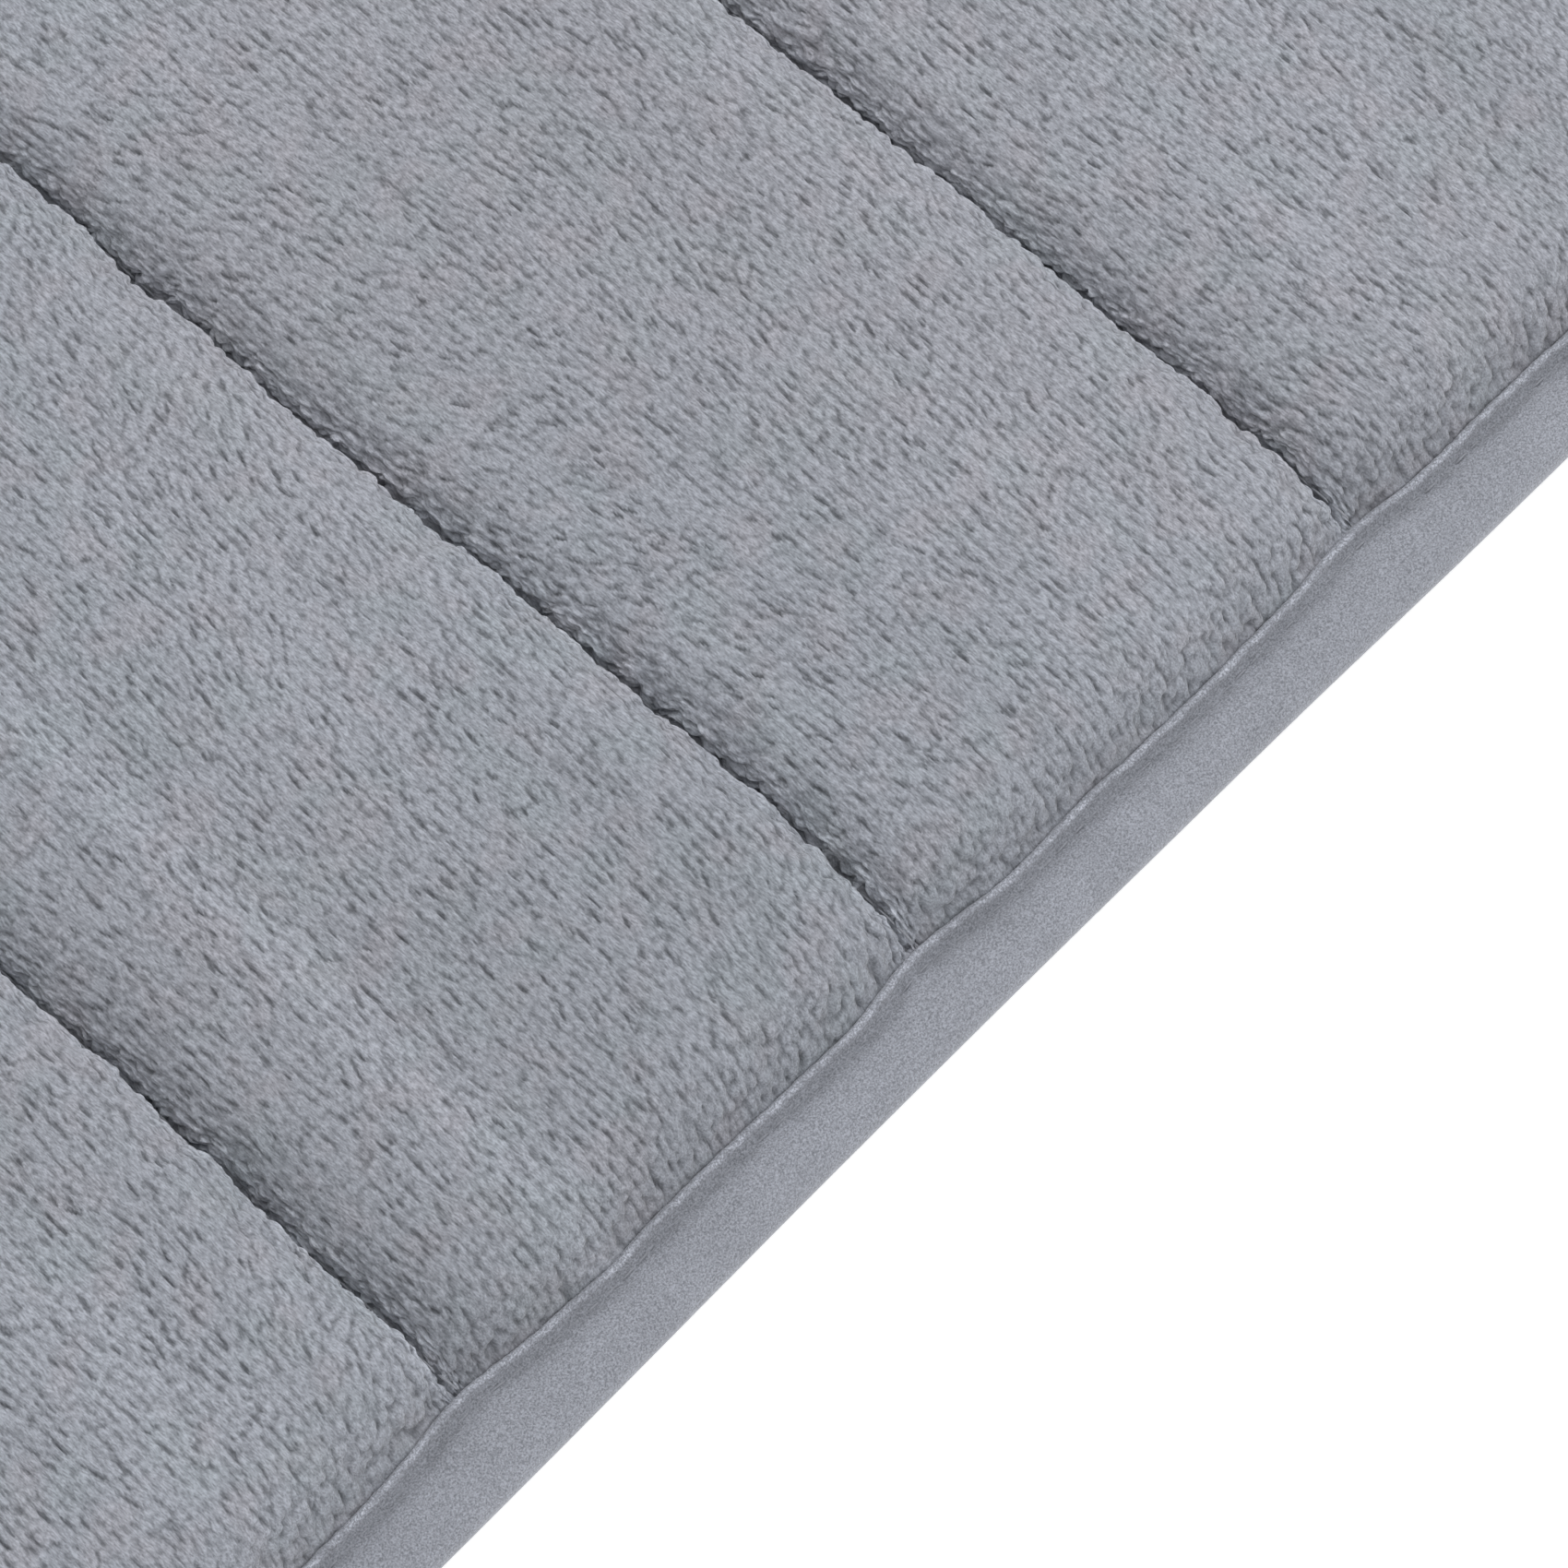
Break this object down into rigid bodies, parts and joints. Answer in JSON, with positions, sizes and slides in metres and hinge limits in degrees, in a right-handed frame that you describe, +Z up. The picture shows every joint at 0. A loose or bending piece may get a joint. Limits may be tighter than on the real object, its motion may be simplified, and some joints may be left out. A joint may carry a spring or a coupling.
{
  "type": "bath mat",
  "caption": "Rectangular plush bath mat with a foam core, quilted across into padded panels and bound round the edge with soft tape over a non-slip back.",
  "frame": {"origin": "middle of the mat's underside, on the floor that it lies on", "axes": "+X along the mat's length, +Y across it along the quilted seams, +Z up through the pile"},
  "size_m": [0.6, 0.4, 0.0164],
  "materials": {
    "cover_pile": "brushed microfibre pile, matt with a soft sheen",
    "foam": "open-cell foam",
    "backing": "plain knitted cloth",
    "grip": "soft moulded dots",
    "binding": "brushed knitted tape",
    "thread": "twisted polyester sewing thread"
  },
  "bodies": {
    "root": {"top_cover": "cover_pile", "foam_core": "foam", "backing_fabric": "backing", "grip_field": "grip", "edge_binding": "binding", "binding_needle_thread": "thread", "binding_bobbin_thread": "thread", "quilt_needle_thread_1": "thread", "quilt_bobbin_thread_1": "thread", "quilt_needle_thread_2": "thread", "quilt_bobbin_thread_2": "thread", "quilt_needle_thread_3": "thread", "quilt_bobbin_thread_3": "thread", "quilt_needle_thread_4": "thread", "quilt_bobbin_thread_4": "thread", "quilt_needle_thread_5": "thread", "quilt_bobbin_thread_5": "thread", "quilt_needle_thread_6": "thread", "quilt_bobbin_thread_6": "thread"}
  },
  "joints": []
}
